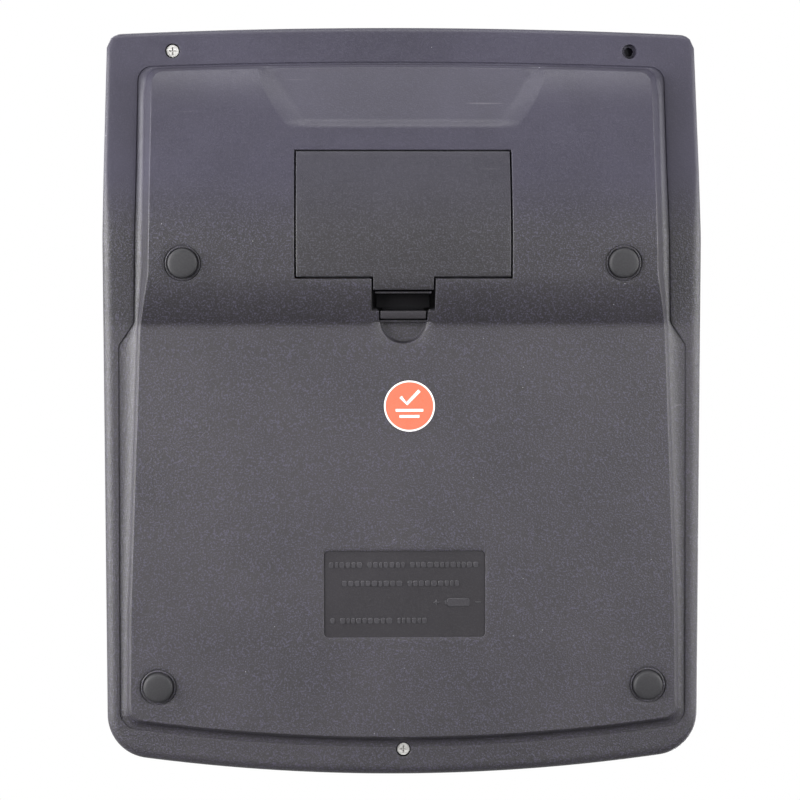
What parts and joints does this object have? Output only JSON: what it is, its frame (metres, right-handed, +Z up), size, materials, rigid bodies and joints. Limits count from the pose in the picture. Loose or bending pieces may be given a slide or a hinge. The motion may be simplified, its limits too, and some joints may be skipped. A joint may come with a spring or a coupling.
{
  "type": "desk calculator",
  "caption": "Wide desk calculator with a sloping keyboard, bent-up display, battery hump with latched door underneath and rubber feet.",
  "frame": {"origin": "middle of the footprint on the desk, at the underside of the feet", "axes": "+Z up, keys facing up; +Y towards the display, -Y towards the user; +X to the user's right"},
  "size_m": [0.157, 0.197, 0.037],
  "materials": {
    "case_black": "fine spark texture",
    "plate_metal": "brushed, clear anodised",
    "bezel_gloss": "polished",
    "window_clear": "clear",
    "lcd_glass": "grey-green display glass",
    "frame_grey": "moulded",
    "ribbon_amber": "film",
    "solar_glass": "thin film cell under glass",
    "board_green": "solder mask",
    "chip_black": "poured resin",
    "screw_steel": "plated",
    "mat_rubber": "silicone",
    "cell_wrap": "printed sleeve",
    "contact_nickel": "nickel plated",
    "sticker_orange": "satin print",
    "wire_red": "insulation",
    "knob_grey": "moulded",
    "foot_rubber": "matt",
    "key_dark": "fine texture",
    "key_light": "fine texture",
    "key_red": "fine texture"
  },
  "bodies": {
    "case": {"bottom_case": "case_black", "top_case": "case_black", "keyboard_plate": "plate_metal", "display_bezel": "bezel_gloss", "display_window": "window_clear", "lcd_panel": "lcd_glass", "lcd_frame": "frame_grey", "lcd_ribbon": "ribbon_amber", "solar_cell": "solar_glass", "main_board": "board_green", "chip_blob": "chip_black", "board_screws": "screw_steel", "key_mat": "mat_rubber", "contact_positive": "contact_nickel", "contact_negative": "contact_nickel", "foot_front_left": "foot_rubber", "foot_front_right": "foot_rubber", "foot_rear_left": "foot_rubber", "foot_rear_right": "foot_rubber", "screw_rear": "screw_steel", "screw_front": "screw_steel", "inspection_sticker": "sticker_orange", "lead_wires": "wire_red", "battery_cell": "cell_wrap", "contact_spring": "contact_nickel"},
    "battery_door": {"battery_door": "case_black"},
    "door_latch": {"door_latch": "case_black"},
    "decimal_knob": {"decimal_knob": "knob_grey"},
    "rounding_knob": {"rounding_knob": "knob_grey"},
    "key_all_clear": {"key_all_clear": "key_red"},
    "key_0": {"key_0": "key_light"},
    "key_00": {"key_00": "key_light"},
    "key_point": {"key_point": "key_light"},
    "key_equals": {"key_equals": "key_dark"},
    "key_clear": {"key_clear": "key_red"},
    "key_1": {"key_1": "key_light"},
    "key_2": {"key_2": "key_light"},
    "key_3": {"key_3": "key_light"},
    "key_minus": {"key_minus": "key_dark"},
    "key_plus": {"key_plus": "key_dark"},
    "key_sign": {"key_sign": "key_dark"},
    "key_4": {"key_4": "key_light"},
    "key_5": {"key_5": "key_light"},
    "key_6": {"key_6": "key_light"},
    "key_times": {"key_times": "key_dark"},
    "key_markup": {"key_markup": "key_dark"},
    "key_percent": {"key_percent": "key_dark"},
    "key_7": {"key_7": "key_light"},
    "key_8": {"key_8": "key_light"},
    "key_9": {"key_9": "key_light"},
    "key_divide": {"key_divide": "key_dark"},
    "key_root": {"key_root": "key_dark"},
    "key_mem_clear": {"key_mem_clear": "key_dark"},
    "key_mem_recall": {"key_mem_recall": "key_dark"},
    "key_mem_minus": {"key_mem_minus": "key_dark"},
    "key_mem_plus": {"key_mem_plus": "key_dark"},
    "key_grand_total": {"key_grand_total": "key_dark"},
    "key_backspace": {"key_backspace": "key_dark"}
  },
  "joints": [
    {"name": "battery_door_swing", "type": "hinge", "parent": "case", "child": "battery_door", "pos_m": [0, 0.06595, 0.00857], "axis": [1, 0, 0], "range_deg": [0, 75]},
    {"name": "battery_latch_flex", "type": "hinge", "parent": "battery_door", "child": "door_latch", "pos_m": [0, 0.0295, 0.009], "axis": [1, 0, 0], "range_deg": [0, 9], "stiffness_Nm_per_rad": 0.06, "springref_deg": -1.15},
    {"name": "decimal_knob_slide", "type": "slide", "parent": "case", "child": "decimal_knob", "axis": [1, 0, 0], "range_m": [0, 0.006]},
    {"name": "rounding_knob_slide", "type": "slide", "parent": "case", "child": "rounding_knob", "axis": [1, 0, 0], "range_m": [0, 0.006]},
    {"name": "key_all_clear_press", "type": "slide", "parent": "case", "child": "key_all_clear", "axis": [0, 0.0436, -0.999], "range_m": [0, 0.0016], "stiffness_N_per_m": 250, "springref_m": -0.0008, "deforming": ["key_mat"]},
    {"name": "key_0_press", "type": "slide", "parent": "case", "child": "key_0", "axis": [0, 0.0436, -0.999], "range_m": [0, 0.0016], "stiffness_N_per_m": 250, "springref_m": -0.0008, "deforming": ["key_mat"]},
    {"name": "key_00_press", "type": "slide", "parent": "case", "child": "key_00", "axis": [0, 0.0436, -0.999], "range_m": [0, 0.0016], "stiffness_N_per_m": 250, "springref_m": -0.0008, "deforming": ["key_mat"]},
    {"name": "key_point_press", "type": "slide", "parent": "case", "child": "key_point", "axis": [0, 0.0436, -0.999], "range_m": [0, 0.0016], "stiffness_N_per_m": 250, "springref_m": -0.0008, "deforming": ["key_mat"]},
    {"name": "key_equals_press", "type": "slide", "parent": "case", "child": "key_equals", "axis": [0, 0.0436, -0.999], "range_m": [0, 0.0016], "stiffness_N_per_m": 250, "springref_m": -0.0008, "deforming": ["key_mat"]},
    {"name": "key_clear_press", "type": "slide", "parent": "case", "child": "key_clear", "axis": [0, 0.0436, -0.999], "range_m": [0, 0.0016], "stiffness_N_per_m": 250, "springref_m": -0.0008, "deforming": ["key_mat"]},
    {"name": "key_1_press", "type": "slide", "parent": "case", "child": "key_1", "axis": [0, 0.0436, -0.999], "range_m": [0, 0.0016], "stiffness_N_per_m": 250, "springref_m": -0.0008, "deforming": ["key_mat"]},
    {"name": "key_2_press", "type": "slide", "parent": "case", "child": "key_2", "axis": [0, 0.0436, -0.999], "range_m": [0, 0.0016], "stiffness_N_per_m": 250, "springref_m": -0.0008, "deforming": ["key_mat"]},
    {"name": "key_3_press", "type": "slide", "parent": "case", "child": "key_3", "axis": [0, 0.0436, -0.999], "range_m": [0, 0.0016], "stiffness_N_per_m": 250, "springref_m": -0.0008, "deforming": ["key_mat"]},
    {"name": "key_minus_press", "type": "slide", "parent": "case", "child": "key_minus", "axis": [0, 0.0436, -0.999], "range_m": [0, 0.0016], "stiffness_N_per_m": 250, "springref_m": -0.0008, "deforming": ["key_mat"]},
    {"name": "key_plus_press", "type": "slide", "parent": "case", "child": "key_plus", "axis": [0, 0.0436, -0.999], "range_m": [0, 0.0016], "stiffness_N_per_m": 250, "springref_m": -0.0008, "deforming": ["key_mat"]},
    {"name": "key_sign_press", "type": "slide", "parent": "case", "child": "key_sign", "axis": [0, 0.0436, -0.999], "range_m": [0, 0.0016], "stiffness_N_per_m": 250, "springref_m": -0.0008, "deforming": ["key_mat"]},
    {"name": "key_4_press", "type": "slide", "parent": "case", "child": "key_4", "axis": [0, 0.0436, -0.999], "range_m": [0, 0.0016], "stiffness_N_per_m": 250, "springref_m": -0.0008, "deforming": ["key_mat"]},
    {"name": "key_5_press", "type": "slide", "parent": "case", "child": "key_5", "axis": [0, 0.0436, -0.999], "range_m": [0, 0.0016], "stiffness_N_per_m": 250, "springref_m": -0.0008, "deforming": ["key_mat"]},
    {"name": "key_6_press", "type": "slide", "parent": "case", "child": "key_6", "axis": [0, 0.0436, -0.999], "range_m": [0, 0.0016], "stiffness_N_per_m": 250, "springref_m": -0.0008, "deforming": ["key_mat"]},
    {"name": "key_times_press", "type": "slide", "parent": "case", "child": "key_times", "axis": [0, 0.0436, -0.999], "range_m": [0, 0.0016], "stiffness_N_per_m": 250, "springref_m": -0.0008, "deforming": ["key_mat"]},
    {"name": "key_markup_press", "type": "slide", "parent": "case", "child": "key_markup", "axis": [0, 0.0436, -0.999], "range_m": [0, 0.0016], "stiffness_N_per_m": 250, "springref_m": -0.0008, "deforming": ["key_mat"]},
    {"name": "key_percent_press", "type": "slide", "parent": "case", "child": "key_percent", "axis": [0, 0.0436, -0.999], "range_m": [0, 0.0016], "stiffness_N_per_m": 250, "springref_m": -0.0008, "deforming": ["key_mat"]},
    {"name": "key_7_press", "type": "slide", "parent": "case", "child": "key_7", "axis": [0, 0.0436, -0.999], "range_m": [0, 0.0016], "stiffness_N_per_m": 250, "springref_m": -0.0008, "deforming": ["key_mat"]},
    {"name": "key_8_press", "type": "slide", "parent": "case", "child": "key_8", "axis": [0, 0.0436, -0.999], "range_m": [0, 0.0016], "stiffness_N_per_m": 250, "springref_m": -0.0008, "deforming": ["key_mat"]},
    {"name": "key_9_press", "type": "slide", "parent": "case", "child": "key_9", "axis": [0, 0.0436, -0.999], "range_m": [0, 0.0016], "stiffness_N_per_m": 250, "springref_m": -0.0008, "deforming": ["key_mat"]},
    {"name": "key_divide_press", "type": "slide", "parent": "case", "child": "key_divide", "axis": [0, 0.0436, -0.999], "range_m": [0, 0.0016], "stiffness_N_per_m": 250, "springref_m": -0.0008, "deforming": ["key_mat"]},
    {"name": "key_root_press", "type": "slide", "parent": "case", "child": "key_root", "axis": [0, 0.0436, -0.999], "range_m": [0, 0.0016], "stiffness_N_per_m": 250, "springref_m": -0.0008, "deforming": ["key_mat"]},
    {"name": "key_mem_clear_press", "type": "slide", "parent": "case", "child": "key_mem_clear", "axis": [0, 0.0436, -0.999], "range_m": [0, 0.0016], "stiffness_N_per_m": 250, "springref_m": -0.0008, "deforming": ["key_mat"]},
    {"name": "key_mem_recall_press", "type": "slide", "parent": "case", "child": "key_mem_recall", "axis": [0, 0.0436, -0.999], "range_m": [0, 0.0016], "stiffness_N_per_m": 250, "springref_m": -0.0008, "deforming": ["key_mat"]},
    {"name": "key_mem_minus_press", "type": "slide", "parent": "case", "child": "key_mem_minus", "axis": [0, 0.0436, -0.999], "range_m": [0, 0.0016], "stiffness_N_per_m": 250, "springref_m": -0.0008, "deforming": ["key_mat"]},
    {"name": "key_mem_plus_press", "type": "slide", "parent": "case", "child": "key_mem_plus", "axis": [0, 0.0436, -0.999], "range_m": [0, 0.0016], "stiffness_N_per_m": 250, "springref_m": -0.0008, "deforming": ["key_mat"]},
    {"name": "key_grand_total_press", "type": "slide", "parent": "case", "child": "key_grand_total", "axis": [0, 0.0436, -0.999], "range_m": [0, 0.0016], "stiffness_N_per_m": 250, "springref_m": -0.0008, "deforming": ["key_mat"]},
    {"name": "key_backspace_press", "type": "slide", "parent": "case", "child": "key_backspace", "axis": [0, 0.0436, -0.999], "range_m": [0, 0.0016], "stiffness_N_per_m": 250, "springref_m": -0.0008, "deforming": ["key_mat"]}
  ]
}
